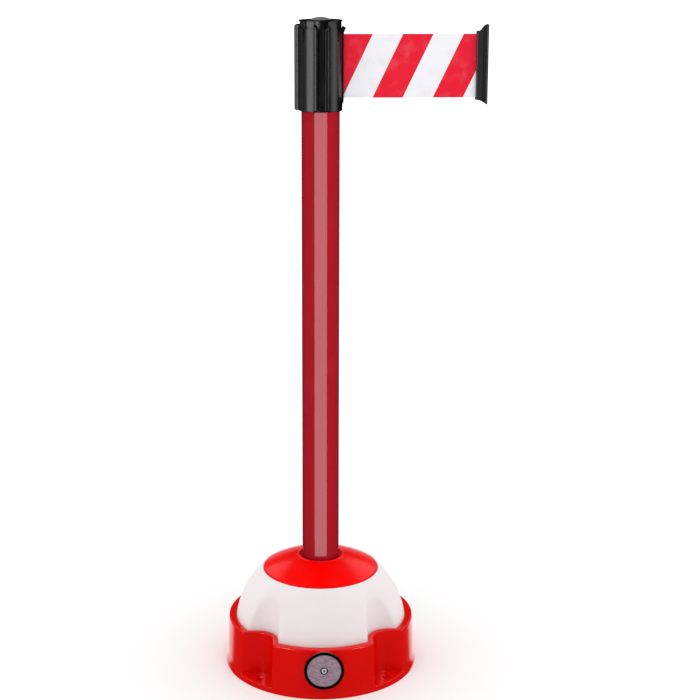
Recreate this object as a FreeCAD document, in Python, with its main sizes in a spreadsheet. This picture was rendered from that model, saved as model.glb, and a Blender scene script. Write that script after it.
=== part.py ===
import FreeCAD, Part
import math
import os
from types import SimpleNamespace

import Sketcher

# A free-standing retractable-belt stanchion. Millimetres, +Z up. The origin is on the floor, on the post's axis.
# The belt runs out along +X and the round fitting on the base faces -Y.

V = FreeCAD.Vector
doc = FreeCAD.newDocument("belt_stanchion")

DIMENSIONS = {
    # base: moulded skirt with foot flange, drafted wall and four corner notches
    "foot_radius": 159.3,
    "foot_height": 9.5,
    "foot_edge": 1.5,
    "skirt_low_radius": 156.9,
    "rim_radius": 153.0,
    "rim_height": 81.0,
    "rim_thickness": 8.0,
    "skirt_wall": 4.0,
    "notch_side": 83.0,
    "notch_centre": 107.0,
    "notch_draft": 1.4,
    "lobe_corner_radius": 6.0,
    "floor_hole_radius": 5.75,
    "floor_hole_circle": 145.5,
    "column_circle": 143.0,
    "column_radius": 6.0,
    "column_angle": 22.0,
    # base: dome, its cap and the weight
    "dome_low": 77.0,
    "dome_sphere": 142.3,
    "dome_centre": 57.0,
    "dome_top": 161.6,
    "dome_wall": 3.5,
    "flute_side": 72.3,
    "flute_draft": 3.6,
    "cap_radius": 94.3,
    "cap_sphere": 196.0,
    "cap_centre": -8.6,
    "cap_wall": 3.0,
    "cap_hole_radius": 35.0,
    "cap_seat": 155.0,
    "plate_low": 9.0,
    "plate_thickness": 3.0,
    "ballast_radius": 114.0,
    "ballast_height": 70.0,
    "socket_height": 150.0,
    # round fitting on the front lobe
    "disc_height": 49.6,
    "disc_face_y": -157.2,
    "disc_boss_radius": 31.3,
    "disc_radius": 31.2,
    # post
    "post_radius": 30.0,
    "post_wall": 3.0,
    "post_low": 18.3,
    "post_top": 919.5,
    # head
    "head_radius": 34.0,
    "head_bore": 31.0,
    "head_floor": 2.5,
    "housing_top": 1046.0,
    "head_top": 1059.0,
    "rail_half_width": 12.5,
    "rail_face": 40.6,
    "rail_low": 921.3,
    "rail_top": 1052.0,
    "channel_half_width": 10.25,
    "channel_back": 33.2,
    "channel_front": 38.2,
    "channel_floor": 928.0,
    "mouth_half_width": 6.25,
    "lead_in_half_width": 11.3,
    "lead_in_height": 12.0,
    "outlet_face": 35.7,
    "outlet_half_width": 8.0,
    "outlet_low": 932.0,
    "outlet_top": 1048.5,
    "beak_face": 39.2,
    "lid_radius": 33.9,
    "lid_core_radius": 31.3,
    "insert_radius": 15.75,
    "insert_rise": 3.6,
    # reel
    "spindle_radius": 4.0,
    "running_clearance": 0.05,
    "spool_core_radius": 12.0,
    "spool_flange_radius": 28.0,
    "wound_radius": 22.3,
    "cup_radius": 26.5,
    "cup_low": 923.1,
    "spool_low": 935.5,
    "belt_low": 939.0,
    "belt_height": 98.0,
    "belt_thickness": 0.4,
    "belt_bend_x": 30.6,
    # end clip
    "clip_near": 241.5,
    "clip_grip_end": 251.7,
    "clip_plate_near": 256.5,
    "clip_far": 259.5,
    "clip_stem_low": 935.7,
    "clip_stem_top": 1041.0,
    "clip_plate_low": 928.0,
    "clip_plate_top": 1051.5,
    "clip_grip_half": 7.0,
    "clip_neck_half": 4.8,
    "clip_plate_half": 9.7,
    "clip_pin_x": 247.05,
    "clip_screw_x": 250.4,
}

sheet = doc.addObject("Spreadsheet::Sheet", "Dims")
for row, (word, number) in enumerate(DIMENSIONS.items(), start=1):
    sheet.set(f"A{row}", word)
    sheet.set(f"B{row}", str(number))
    sheet.setAlias(f"B{row}", word)
doc.recompute()


class Size:
    """A length in mm, held with the spreadsheet formula that gives it."""

    def __init__(self, number, formula):
        self.number = float(number)
        self.formula = formula

    def joined(self, other, sign, number):
        return Size(number, f"({self.formula} {sign} {formula_of(other)})")

    def __add__(self, other):
        return self.joined(other, "+", self.number + float(other))

    def __sub__(self, other):
        return self.joined(other, "-", self.number - float(other))

    def __mul__(self, other):
        return self.joined(other, "*", self.number * float(other))

    def __truediv__(self, other):
        return self.joined(other, "/", self.number / float(other))

    def __neg__(self):
        return Size(-self.number, f"(0 - {self.formula})")

    def __float__(self):
        return self.number


def formula_of(amount):
    return amount.formula if isinstance(amount, Size) else str(float(amount))


def sized(amount):
    return amount if isinstance(amount, Size) else Size(amount, formula_of(amount))


def root(amount):
    return Size(math.sqrt(float(amount)), f"sqrt({formula_of(amount)})")


def leg(hypotenuse, other):
    """The other leg of a right triangle: a sphere's radius at a height above its centre, or the reverse."""
    return root(hypotenuse * hypotenuse - other * other)


D = SimpleNamespace(**{word: Size(number, f"Dims.{word}") for word, number in DIMENSIONS.items()})


# ---- building blocks ----------------------------------------------------------------------------


def bind(item, **amounts):
    """Set properties, a double underscore standing for a dot, and tie each one that is a Size to the sheet."""
    for name, amount in amounts.items():
        path = name.replace("__", ".")
        if isinstance(amount, Size):
            item.setExpression(path, amount.formula)
        elif "." in path:
            item.setExpression(path, str(float(amount)))
        else:
            setattr(item, path, amount)
    return item


def put(item, x=0.0, y=0.0, z=0.0, turn=0.0, axis=V(0, 0, 1)):
    """Place an object: turned about an axis through its own origin, and moved to x, y, z."""
    item.Placement = FreeCAD.Placement(V(float(x), float(y), float(z)), FreeCAD.Rotation(axis, turn))
    for letter, amount in zip("xyz", (x, y, z)):
        if isinstance(amount, Size):
            item.setExpression(f"Placement.Base.{letter}", amount.formula)
    return item


def cylinder(name, radius, low, high, x=0.0, y=0.0):
    item = doc.addObject("Part::Cylinder", name)
    bind(item, Radius=radius, Height=sized(high) - low)
    return put(item, x, y, low)


def side_box(name, near, far, half_width, low, high, turn=0.0):
    """A box from radius near to far on the +X side, as wide as two half widths, then turned about Z."""
    item = doc.addObject("Part::Box", name)
    bind(item, Length=sized(far) - near, Width=sized(half_width) * 2, Height=sized(high) - low)
    direction = FreeCAD.Rotation(V(0, 0, 1), turn)
    corner = direction.multVec(V(float(near), -float(half_width), 0))
    item.Placement = FreeCAD.Placement(V(corner.x, corner.y, float(low)), direction)
    if isinstance(low, Size):
        item.setExpression("Placement.Base.z", low.formula)
    return item


def fused(name, items):
    item = doc.addObject("Part::MultiFuse", name)
    item.Shapes = items
    return item


def cut(name, base, tools):
    item = doc.addObject("Part::Cut", name)
    item.Base = base
    item.Tool = tools[0] if len(tools) == 1 else fused(f"{name}_tools", tools)
    return item


def grouped(name, items):
    item = doc.addObject("Part::Compound", name)
    item.Links = items
    return item


def plane_sketch(body, name, role, offset=None):
    """A sketch on one of the body's own origin planes, lifted along the plane's normal."""
    sketch = body.newObject("Sketcher::SketchObject", name)
    plane = next(feature for feature in body.Origin.OriginFeatures if feature.Role == role)
    sketch.AttachmentSupport = [(plane, "")]
    sketch.MapMode = "FlatFace"
    if offset is not None:
        sketch.AttachmentOffset = FreeCAD.Placement(V(0, 0, float(offset)), FreeCAD.Rotation())
        sketch.setExpression("AttachmentOffset.Base.z", formula_of(offset))
    return sketch


def edge_between(start, end, radius):
    """A straight edge, or an arc that is counter-clockwise for a positive radius and clockwise for a negative one.
    The second value says whether the edge runs from start to end."""
    a, b = (V(float(point[0]), float(point[1]), 0) for point in (start, end))
    if radius is None:
        return Part.LineSegment(a, b), True
    if float(radius) < 0:
        a, b = b, a
    chord = b - a
    reach = math.sqrt(float(radius) ** 2 - chord.Length ** 2 / 4) / chord.Length
    centre = (a + b) * 0.5 + V(-chord.y, chord.x, 0) * reach
    angles = [math.atan2(point.y - centre.y, point.x - centre.x) for point in (a, b)]
    if angles[1] < angles[0]:
        angles[1] += 2 * math.pi
    return Part.ArcOfCircle(Part.Circle(centre, V(0, 0, 1), abs(float(radius))), *angles), float(radius) > 0


def draw(sketch, corners):
    """Draw a closed outline. A corner is (x, y), or (x, y, radius) where the edge after it is an arc."""
    ends = []
    for index, corner in enumerate(corners):
        radius = corner[2] if len(corner) > 2 else None
        edge, forward = edge_between(corner, corners[(index + 1) % len(corners)], radius)
        number = sketch.addGeometry(edge, False)
        ends.append((number, 1, 2) if forward else (number, 2, 1))
        if radius is not None:
            pin_down(sketch, ("Radius", number), radius if float(radius) > 0 else -radius)
    for index, (number, first, last) in enumerate(ends):
        following = ends[(index + 1) % len(ends)]
        sketch.addConstraint(Sketcher.Constraint("Coincident", number, last, following[0], following[1]))
        for kind, axis, amount in (("DistanceX", -2, corners[index][0]), ("DistanceY", -1, corners[index][1])):
            if abs(float(amount)) < 1e-9:
                sketch.addConstraint(Sketcher.Constraint("PointOnObject", number, first, axis))
            else:
                pin_down(sketch, (kind, -1, 1, number, first), amount)
    return sketch


def pin_down(sketch, what, amount):
    number = sketch.addConstraint(Sketcher.Constraint(*what, float(amount)))
    if isinstance(amount, Size):
        sketch.setExpression(f"Constraints[{number}]", amount.formula)


def turned(name, corners):
    """A body of revolution about Z from an outline of (radius, height) corners."""
    body = doc.addObject("PartDesign::Body", name)
    sketch = draw(plane_sketch(body, f"{name}_profile", "XZ_Plane"), corners)
    feature = body.newObject("PartDesign::Revolution", f"{name}_turned")
    feature.Profile = sketch
    feature.ReferenceAxis = (sketch, ["V_Axis"])
    feature.Angle = 360
    return body


def ring(name, inner, outer, low, high):
    return turned(name, [(inner, low), (outer, low), (outer, high), (inner, high)])


def facing_front(body, z):
    """Turn a body made about Z so that its +Z end faces -Y, and move it to the round fitting's seat."""
    return put(body, 0.0, D.disc_face_y, z, 90, V(1, 0, 0))


# ---- base ---------------------------------------------------------------------------------------


def lobed(name, profile, start, side, draft, corner_radius=None):
    """A turned body with four corner notches. Each notch is a square corner, |x| and |y| above side, rounded
    about notch_centre, that rises from the height start and widens by the draft angle."""
    body = turned(name, profile)
    sketch = plane_sketch(body, f"{name}_notch_outline", "XY_Plane", start)
    beyond = D.foot_radius * 2
    draw(sketch, [
        (D.notch_centre, side), (beyond, side), (beyond, beyond), (side, beyond),
        (side, D.notch_centre, D.notch_centre - side),
    ])
    pocket = body.newObject("PartDesign::Pocket", f"{name}_notch")
    pocket.Profile = sketch
    pocket.Reversed = True
    bind(pocket, Length=D.foot_radius * 2, TaperAngle=draft)
    pattern = body.newObject("PartDesign::PolarPattern", f"{name}_notches")
    pattern.Originals = [pocket]
    pattern.Axis = (sketch, ["N_Axis"])
    pattern.Angle = 360
    pattern.Occurrences = 4
    body.Tip = pattern
    if corner_radius is not None:
        doc.recompute()
        fillet = body.newObject("PartDesign::Fillet", f"{name}_corners")
        fillet.Base = (pattern, lobe_corner_edges(pattern.Shape, float(side)))
        bind(fillet, Radius=corner_radius)
        body.Tip = fillet
    return body


def lobe_corner_edges(shape, side):
    """The rising edges where the notches' flat sides meet the round wall."""
    names = []
    for number, edge in enumerate(shape.Edges, start=1):
        ends = [vertex.Point for vertex in edge.Vertexes]
        if len(ends) < 2 or abs(ends[0].z - ends[1].z) < 20:
            continue
        nearest = min(abs(ends[0].x), abs(ends[0].y))
        if abs(nearest - side) < 5 and math.hypot(ends[0].x, ends[0].y) > 140:
            names.append(f"Edge{number}")
    return names


def corner_spots(circle):
    return [(circle * math.cos(math.radians(a)), circle * math.sin(math.radians(a))) for a in (45, 135, 225, 315)]


def column_spots():
    spots = []
    for axis_angle in range(0, 360, 90):
        for side in (-1, 1):
            angle = math.radians(axis_angle + side * float(D.column_angle))
            spots.append((D.column_circle * math.cos(angle), D.column_circle * math.sin(angle)))
    return spots


def base_skirt():
    """Hollow moulding: drafted lobed wall on a round foot flange, with a rim that the dome sits in."""
    outside = lobed("skirt_outside", [
        (0, 0), (D.foot_radius, 0), (D.foot_radius, D.foot_height - D.foot_edge),
        (D.foot_radius - D.foot_edge, D.foot_height), (D.skirt_low_radius, D.foot_height),
        (D.rim_radius, D.rim_height), (0, D.rim_height),
    ], D.foot_height, D.notch_side, D.notch_draft, D.lobe_corner_radius)
    ceiling = D.rim_height - D.rim_thickness
    inside = lobed("skirt_inside", [
        (0, -1), (D.skirt_low_radius - D.skirt_wall, -1), (D.rim_radius - D.skirt_wall, ceiling), (0, ceiling),
    ], -1, D.notch_side - D.skirt_wall, D.notch_draft)
    seat_radius = dome_radius(D.dome_low) + 0.4
    seat_side = D.flute_side + 0.4
    seat = lobed("dome_seat", [
        (0, D.dome_low), (seat_radius, D.dome_low), (seat_radius, D.rim_height + 1), (0, D.rim_height + 1),
    ], D.dome_low - 1, seat_side, D.flute_draft)
    ledge = 4.0
    opening = lobed("dome_opening", [
        (0, ceiling - 1), (seat_radius - ledge, ceiling - 1), (seat_radius - ledge, D.dome_low + 1),
        (0, D.dome_low + 1),
    ], ceiling - 2, seat_side - ledge, D.flute_draft)
    shell = cut("skirt_shell", outside, [inside, seat, opening])
    columns = [
        cylinder(f"skirt_column_{number}", D.column_radius, D.plate_low + D.plate_thickness + 0.1, ceiling + 1, x, y)
        for number, (x, y) in enumerate(column_spots())
    ]
    boss = facing_front(turned("disc_boss", [
        (0, -7), (D.disc_boss_radius, -7), (D.disc_boss_radius, -0.6), (D.disc_boss_radius - 0.6, 0), (0, 0),
    ]), D.disc_height)
    solid = fused("skirt_solid", [shell, boss] + columns)
    holes = [
        cylinder(f"floor_hole_{number}", D.floor_hole_radius, -1, D.foot_height + 1, x, y)
        for number, (x, y) in enumerate(corner_spots(D.floor_hole_circle))
    ]
    holes += [
        cylinder(f"column_hole_{number}", 2.05, D.plate_low, D.plate_low + 23, x, y)
        for number, (x, y) in enumerate(column_spots())
    ]
    holes.append(facing_front(turned("disc_hole", [(0, -20), (2.75, -20), (2.75, 2), (0, 2)]), D.disc_height))
    return cut("base_skirt", solid, holes)


def dome_radius(height, inset=0):
    """The dome's radius at a height, or that of the sphere inset below its surface."""
    return leg(D.dome_sphere - inset, D.dome_centre - height)


def cap_height(radius, inset=0):
    """The cap's height at a radius, or that of the sphere inset below its surface."""
    return leg(D.cap_sphere - inset, radius) + D.cap_centre


def dome_shell():
    """Spherical shell with four flutes that continue the notches upwards, and a ledge for the cap."""
    outside = lobed("dome_outside", [
        (0, D.dome_low), (dome_radius(D.dome_low), D.dome_low, D.dome_sphere), (dome_radius(D.dome_top), D.dome_top),
        (0, D.dome_top),
    ], D.dome_low - 1, D.flute_side, D.flute_draft)
    low, top = D.dome_low - 1, D.dome_top + 1
    inside = lobed("dome_inside", [
        (0, low), (dome_radius(low, D.dome_wall), low, D.dome_sphere - D.dome_wall),
        (dome_radius(top, D.dome_wall), top), (0, top),
    ], low - 1, D.flute_side - D.dome_wall, D.flute_draft)
    recess = cylinder("cap_recess", D.cap_radius + 0.3, D.cap_seat, D.dome_top + 1)
    shell = cut("dome_skin", outside, [inside, recess])
    ledge = ring("cap_ledge", D.cap_radius - 8, D.cap_radius + 6.5, D.cap_seat - 4, D.cap_seat)
    return fused("dome_shell", [shell, ledge])


def dome_cap():
    """Shallow spherical cap with a rim that sits in the dome, a bead, and a sunk collar that closes on the post."""
    inner_edge = D.cap_radius - D.cap_wall
    collar = D.cap_hole_radius + 2.4
    ledge = cap_height(D.cap_hole_radius) - 5
    collar_low = ledge - 6
    bore = D.post_radius + 0.3
    disc = turned("cap_disc", [
        (inner_edge, D.cap_seat + 0.1), (D.cap_radius, D.cap_seat + 0.1),
        (D.cap_radius, cap_height(D.cap_radius), D.cap_sphere), (D.cap_hole_radius, cap_height(D.cap_hole_radius)),
        (D.cap_hole_radius, ledge), (bore, ledge), (bore, collar_low), (collar, collar_low),
        (collar, cap_height(collar, D.cap_wall), -(D.cap_sphere - D.cap_wall)),
        (inner_edge, cap_height(inner_edge, D.cap_wall)),
    ])
    bead = doc.addObject("Part::Torus", "cap_bead")
    bind(bead, Radius1=D.cap_hole_radius + 1.4, Radius2=1.5)
    put(bead, z=cap_height(D.cap_hole_radius) - 0.6)
    return fused("dome_cap", [disc, bead])


def ballast_block():
    """Cast ring that stands on the socket's flange."""
    low = D.plate_low + D.plate_thickness + 4.1
    chamfer = 4.0
    inner = D.post_radius + 6
    return turned("ballast_block", [
        (inner, low), (D.ballast_radius - chamfer, low), (D.ballast_radius, low + chamfer),
        (D.ballast_radius, D.ballast_height - chamfer), (D.ballast_radius - chamfer, D.ballast_height),
        (inner, D.ballast_height),
    ])


def post_socket():
    """Sleeve with a flange and a floor, round the foot of the post."""
    low = D.plate_low + D.plate_thickness
    flange = 4.0
    floor = D.post_low - 0.3
    wall = 4.2
    bore = D.post_radius + 0.25
    return turned("post_socket", [
        (5.5, low), (D.post_radius * 2, low), (D.post_radius * 2, low + flange), (bore + wall, low + flange),
        (bore + wall, D.socket_height), (bore, D.socket_height), (bore, floor), (5.5, floor),
    ])


def bottom_plate():
    """Lobed plate that closes the underside, held up inside the skirt."""
    top = D.plate_low + D.plate_thickness
    reach = D.skirt_low_radius - D.skirt_wall - 1.4
    plate = lobed("plate_blank", [(0, D.plate_low), (reach, D.plate_low), (reach, top), (0, top)],
                  D.plate_low - 1, D.notch_side - D.skirt_wall - 1, D.notch_draft)
    holes = [
        cylinder(f"plate_hole_{number}", 2.75, D.plate_low - 1, top + 1, x, y)
        for number, (x, y) in enumerate(column_spots())
    ]
    holes.append(cylinder("plate_bolt_hole", 5.5, D.plate_low - 1, top + 1))
    return cut("bottom_plate", plate, holes)


def base_screws():
    """Pan-head screws up through the bottom plate into the skirt's columns."""
    screws = []
    for number, (x, y) in enumerate(column_spots()):
        head = cylinder(f"base_screw_head_{number}", 4.5, D.plate_low - 2.6, D.plate_low, x, y)
        shank = cylinder(f"base_screw_shank_{number}", 2.0, D.plate_low - 1, D.plate_low + 21, x, y)
        screws.append(fused(f"base_screw_{number}", [head, shank]))
    return grouped("base_screws", screws)


def disc_fitting():
    """The round fitting on the front lobe: black cup, grey face, screw from outside and flange nut inside.
    Heights in these outlines run outwards from the boss's face."""
    cup = turned("disc_cup", [(2.75, 0), (D.disc_radius, 0), (D.disc_radius, 3.4), (D.disc_radius - 0.8, 4.2),
                              (D.disc_radius - 3.4, 4.2), (D.disc_radius - 3.8, 3.8), (D.disc_radius - 3.8, 1.6),
                              (2.75, 1.6)])
    face_radius = D.disc_radius - 4.05
    face = turned("disc_face", [(2.75, 1.65), (face_radius, 1.65), (face_radius, 3.2), (face_radius - 0.6, 3.8),
                                (6.5, 3.8), (6.5, 2.6), (2.75, 2.6)])
    screw = turned("disc_screw", [(0, -14.5), (2.5, -14.5), (2.5, 2.65), (4.5, 2.65), (4.5, 4.2), (3.6, 5.1),
                                  (1.6, 5.1), (1.6, 3.6), (0, 3.6)])
    nut_blank = doc.addObject("Part::Prism", "disc_nut_blank")
    bind(nut_blank, Polygon=6, Circumradius=5.2, Height=4.0)
    put(nut_blank, z=-12.0)
    nut_flange = cylinder("disc_nut_flange", 7.5, -9.2, -7.6)
    nut_bore = cylinder("disc_nut_bore", 2.55, -13, 0)
    nut = cut("disc_nut", fused("disc_nut_solid", [nut_blank, nut_flange]), [nut_bore])
    for item in (cup, face, screw, nut):
        facing_front(item, D.disc_height)
    return {"disc_cup": cup, "disc_face": face, "disc_screw": screw, "disc_nut": nut}


# ---- post ---------------------------------------------------------------------------------------


def post_tube():
    return ring("post_tube", D.post_radius - D.post_wall, D.post_radius, D.post_low, D.post_top)


def tube_foot_plug():
    bore = D.post_radius - D.post_wall - 0.2
    return turned("tube_foot_plug", [
        (5.3, D.post_low), (bore - 1, D.post_low), (bore, D.post_low + 1), (bore, D.post_low + 32), (5.3, D.post_low + 32),
    ])


def hexagon(name, circumradius, low, height):
    item = doc.addObject("Part::Prism", name)
    bind(item, Polygon=6, Circumradius=circumradius, Height=height)
    return put(item, z=low)


def post_bolting():
    """Bolt from below through plate, socket and plug, with its washer and nut on top of the plug."""
    plug_top = D.post_low + 32
    head = hexagon("post_bolt_head", 9.8, D.plate_low - 6.4, 6.4)
    shank = cylinder("post_bolt_shank", 5.0, D.plate_low - 1, plug_top + 16)
    washer = ring("post_washer", 5.3, 10.5, plug_top, plug_top + 2)
    nut_bore = cylinder("post_nut_bore", 5.05, plug_top, plug_top + 20)
    nut = cut("post_nut", hexagon("post_nut_blank", 9.8, plug_top + 2, 8.0), [nut_bore])
    return {"post_bolt": fused("post_bolt", [head, shank]), "post_washer": washer, "post_nut": nut}


# ---- head ---------------------------------------------------------------------------------------

RECEIVER_TURNS = (90, 180, 270)
HEAD_SCREW_CIRCLE = 19.5


def head_screw_spots():
    return [(HEAD_SCREW_CIRCLE * math.cos(math.radians(a)), HEAD_SCREW_CIRCLE * math.sin(math.radians(a)))
            for a in (60, 180, 300)]


def receiver_rail(turn):
    """Outer block of one receiver: rounded on its two outer uprights and over its top."""
    block = side_box(f"rail_block_{turn}", D.head_radius - 3.5, D.rail_face, D.rail_half_width, D.rail_low,
                     D.rail_top, turn)
    doc.recompute()
    face = float(D.rail_face)
    outward = FreeCAD.Rotation(V(0, 0, 1), turn).multVec(V(1, 0, 0))
    edges = []
    for number, edge in enumerate(block.Shape.Edges, start=1):
        middle = edge.CenterOfMass
        if abs(middle.dot(outward) - face) > 0.01:
            continue
        upright = abs(edge.Vertexes[0].Z - edge.Vertexes[1].Z) > 1
        if upright or middle.z > float(D.rail_top) - 1:
            edges.append((number, 2.3, 2.3))
    rounded = doc.addObject("Part::Fillet", f"rail_{turn}")
    rounded.Base = block
    rounded.Edges = edges
    return rounded


def receiver_space(turn):
    """What one receiver leaves free: the T-shaped channel, open at its top, with a flared lead-in, and the mouth
    between its lips, which runs out through the rail's lower end."""
    above = D.rail_top + 3
    channel = side_box(f"channel_{turn}", D.channel_back, D.channel_front, D.channel_half_width, D.channel_floor,
                       above, turn)
    mouth = side_box(f"mouth_{turn}", D.channel_front - 0.5, D.rail_face + 1, D.mouth_half_width,
                     D.rail_low - 1, above, turn)
    flare = doc.addObject("Part::Wedge", f"flare_{turn}")
    low = D.rail_top - D.lead_in_height
    near = D.channel_front - 0.5
    bind(flare, Xmin=near, Xmax=D.rail_face + 1, X2min=near, X2max=D.rail_face + 1,
         Ymin=0.0, Ymax=D.lead_in_height + 0.5,
         Zmin=-D.mouth_half_width, Zmax=D.mouth_half_width,
         Z2min=-D.lead_in_half_width, Z2max=D.lead_in_half_width)
    upright = FreeCAD.Rotation(V(0, 0, 1), turn).multiply(FreeCAD.Rotation(V(1, 0, 0), 90))
    flare.Placement = FreeCAD.Placement(V(0, 0, float(low)), upright)
    flare.setExpression("Placement.Base.z", low.formula)
    return [channel, mouth, flare]


def head_housing():
    """Moulded body: round shell, three receivers, and the belt outlet with the beak over it on +X."""
    barrel = cylinder("head_barrel", D.head_radius, D.post_top, D.housing_top)
    rails = [receiver_rail(turn) for turn in RECEIVER_TURNS]
    outlet = side_box("outlet_lips", D.head_radius - 3.5, D.outlet_face, D.outlet_half_width, D.outlet_low,
                      D.outlet_top - 4)
    beak = side_box("outlet_beak", D.head_radius - 3.5, D.beak_face, D.outlet_half_width, D.outlet_top - 4,
                    D.outlet_top)
    solid = fused("head_solid", [barrel, outlet, beak] + rails)
    floor_top = D.post_top + D.head_floor
    bore = cylinder("head_bore_space", D.head_bore, floor_top, D.housing_top + 10)
    lid_space = cylinder("lid_space", D.head_radius - 0.3, D.housing_top, D.rail_top + 10)
    slot = side_box("belt_slot", D.head_bore - 3, D.beak_face + 1, 1.3, D.belt_low - 2.5,
                    D.belt_low + D.belt_height + 2.5)
    holes = [bore, lid_space, slot,
             cylinder("spindle_hole", D.spindle_radius + 0.03, D.post_top - 1, floor_top + 1)]
    holes += [cylinder(f"floor_screw_hole_{number}", 2.05, D.post_top - 1, floor_top + 1, x, y)
              for number, (x, y) in enumerate(head_screw_spots())]
    for turn in RECEIVER_TURNS:
        holes += receiver_space(turn)
    return cut("head_housing", solid, holes)


def top_cap():
    """Lid: a core under a thin brim, eight raised tabs round the band, and a boss that steadies the spindle."""
    low = D.housing_top
    brim = D.head_top - 2
    lid = turned("lid_disc", [
        (0, low), (D.lid_core_radius, low), (D.lid_core_radius, brim), (D.lid_radius, brim),
        (D.lid_radius, D.head_top - 0.6), (D.lid_radius - 0.6, D.head_top),
        (D.insert_radius + 0.15, D.head_top), (D.insert_radius + 0.15, D.head_top - 2), (0, D.head_top - 2),
    ])
    boss = cylinder("lid_boss", 9.0, low - 4, low + 1)
    tabs = []
    for turn in (31, 59, 121, 149, 211, 239, 301, 329):
        tabs.append(side_box(f"lid_tab_{turn}", D.lid_core_radius - 1, D.lid_radius - 0.1, 4.8, low + 2.5,
                             brim + 0.5, turn))
    passages = [side_box(f"lid_passage_{turn}", D.channel_back, D.rail_face, D.rail_half_width + 0.2, low - 1,
                         D.head_top + 1, turn) for turn in RECEIVER_TURNS]
    hole = cylinder("lid_spindle_hole", D.spindle_radius + 0.03, low - 5, low + 6)
    return cut("top_cap", fused("lid_solid", [lid, boss] + tabs), passages + [hole])


def cap_insert():
    base = D.head_top - 2
    edge = D.head_top + 0.4
    rise = D.insert_rise
    sphere = (D.insert_radius * D.insert_radius + rise * rise) / (rise * 2)
    return turned("cap_insert", [(0, base), (D.insert_radius, base), (D.insert_radius, edge, sphere), (0, edge + rise)])


def head_adapter():
    bore = D.post_radius - D.post_wall - 0.04
    low = D.post_top - 37
    blank = turned("adapter_blank", [(12, low), (bore - 1, low), (bore, low + 1), (bore, D.post_top), (12, D.post_top)])
    holes = [cylinder(f"adapter_hole_{number}", 2.2, low - 1, D.post_top + 1, x, y)
             for number, (x, y) in enumerate(head_screw_spots())]
    return cut("head_adapter", blank, holes)


def head_screws():
    """Screws from under the adapter into the housing's floor."""
    low = D.post_top - 37
    screws = []
    for number, (x, y) in enumerate(head_screw_spots()):
        head = cylinder(f"head_screw_head_{number}", 3.8, low - 3, low, x, y)
        shank = cylinder(f"head_screw_shank_{number}", 2.0, low - 1, D.post_top + 2.3, x, y)
        screws.append(fused(f"head_screw_{number}", [head, shank]))
    return grouped("head_screws", screws)


# ---- reel ---------------------------------------------------------------------------------------


def spindle():
    return turned("spindle", [
        (0, D.post_top - 10), (D.spindle_radius, D.post_top - 10), (D.spindle_radius, D.housing_top + 4),
        (D.spindle_radius - 0.8, D.housing_top + 5), (0, D.housing_top + 5),
    ])


def spindle_nut():
    bore = cylinder("spindle_nut_bore", D.spindle_radius + 0.03, D.post_top - 12, D.post_top + 1)
    return cut("spindle_nut", hexagon("spindle_nut_blank", 7.5, D.post_top - 6.7, 6.5), [bore])


def thrust_washers():
    bore = D.spindle_radius + 0.2
    lower = ring("thrust_washer_low", bore, 9, D.post_top + D.head_floor, D.cup_low - 0.3)
    upper = ring("thrust_washer_high", bore, 9, D.housing_top - 5.2, D.housing_top - 4.1)
    return grouped("thrust_washers", [lower, upper])


def spool():
    bore = D.spindle_radius + D.running_clearance
    flange = 2.0
    top = D.belt_low + D.belt_height + 0.5 + flange
    return turned("spool", [
        (bore, D.spool_low), (D.spool_flange_radius, D.spool_low), (D.spool_flange_radius, D.spool_low + flange),
        (D.spool_core_radius, D.spool_low + flange), (D.spool_core_radius, top - flange),
        (D.spool_flange_radius, top - flange), (D.spool_flange_radius, top), (bore, top),
    ])


def spring_cup():
    bore = D.spindle_radius + D.running_clearance
    wall = 1.5
    return turned("spring_cup", [
        (bore, D.cup_low), (D.cup_radius, D.cup_low), (D.cup_radius, D.spool_low), (D.cup_radius - wall, D.spool_low),
        (D.cup_radius - wall, D.cup_low + wall), (bore, D.cup_low + wall),
    ])


def power_spring():
    """Flat spiral strip between the spindle and the cup's wall, drawn as two interpolated spirals."""
    first_radius = float(D.spindle_radius) + 1.0
    last_radius = float(D.cup_radius) - 2.4
    turns = 9
    strip = 0.5
    steps = 12 * turns

    def spiral(outwards):
        points = []
        for step in range(steps + 1):
            radius = first_radius + (last_radius - first_radius) * step / steps + outwards
            angle = 2 * math.pi * turns * step / steps
            points.append(V(radius * math.cos(angle), radius * math.sin(angle), 0))
        curve = Part.BSplineCurve()
        curve.interpolate(points)
        return curve.toShape(), points[0], points[-1]

    inner, inner_start, inner_end = spiral(0.0)
    outer, outer_start, outer_end = spiral(strip)
    outline = Part.Wire(Part.__sortEdges__([
        inner, Part.makeLine(inner_end, outer_end), outer, Part.makeLine(outer_start, inner_start)]))
    low = float(D.cup_low) + 2.2
    strip_height = float(D.spool_low) - low - 0.7
    item = doc.addObject("Part::Feature", "power_spring")
    item.Shape = Part.Face(outline).extrude(V(0, 0, strip_height))
    return put(item, z=D.cup_low + 2.2)


def belt_roll():
    return ring("belt_roll", D.spool_core_radius + 0.1, D.wound_radius, D.belt_low, D.belt_low + D.belt_height)


# ---- belt and end clip --------------------------------------------------------------------------


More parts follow.
